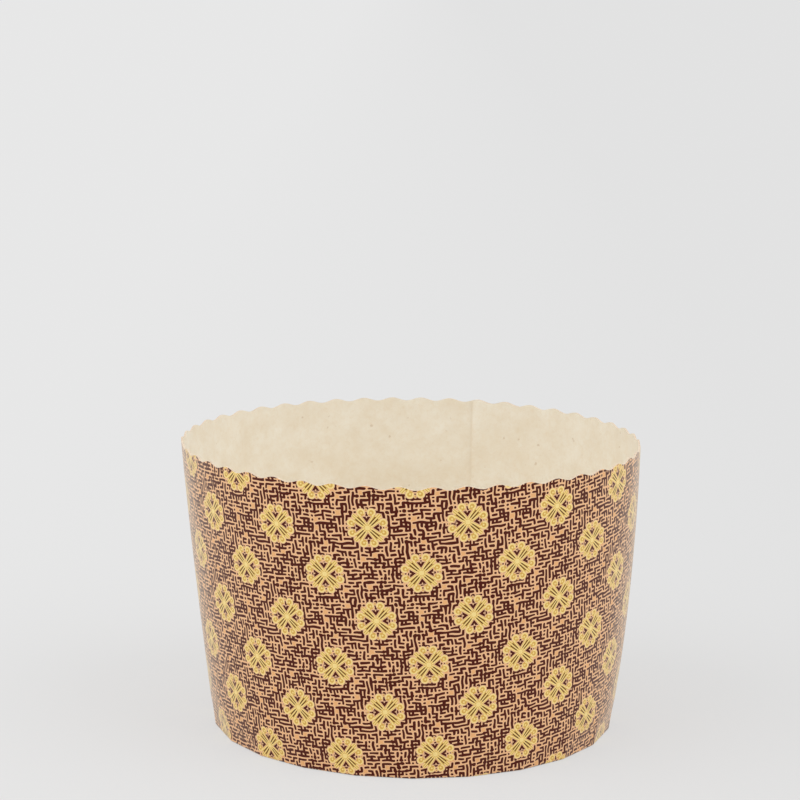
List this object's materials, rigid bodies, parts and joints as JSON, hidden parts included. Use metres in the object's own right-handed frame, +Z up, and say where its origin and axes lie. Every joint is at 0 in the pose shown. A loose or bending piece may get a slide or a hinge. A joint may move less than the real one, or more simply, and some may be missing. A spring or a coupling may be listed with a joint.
{
  "type": "paper baking cup",
  "caption": "Round, slightly conical paper baking cup with a wave-cut rim, a printed side wall glued in a lap, and a flat disc base on folded tabs.",
  "frame": {"origin": "on the table, under the middle of the rim", "axes": "+Z up along the cup's axis, out of its mouth; -Y towards the front that the picture shows; the glued lap is at the back"},
  "size_m": [0.07, 0.07, 0.044],
  "materials": {
    "printed_paper": "satin printed paper, brown and gold ornament on a peach ground",
    "plain_paper": "matt unprinted greaseproof paper"
  },
  "bodies": {
    "root": {"side_wall": "printed_paper", "base_disc": "plain_paper"}
  },
  "joints": []
}
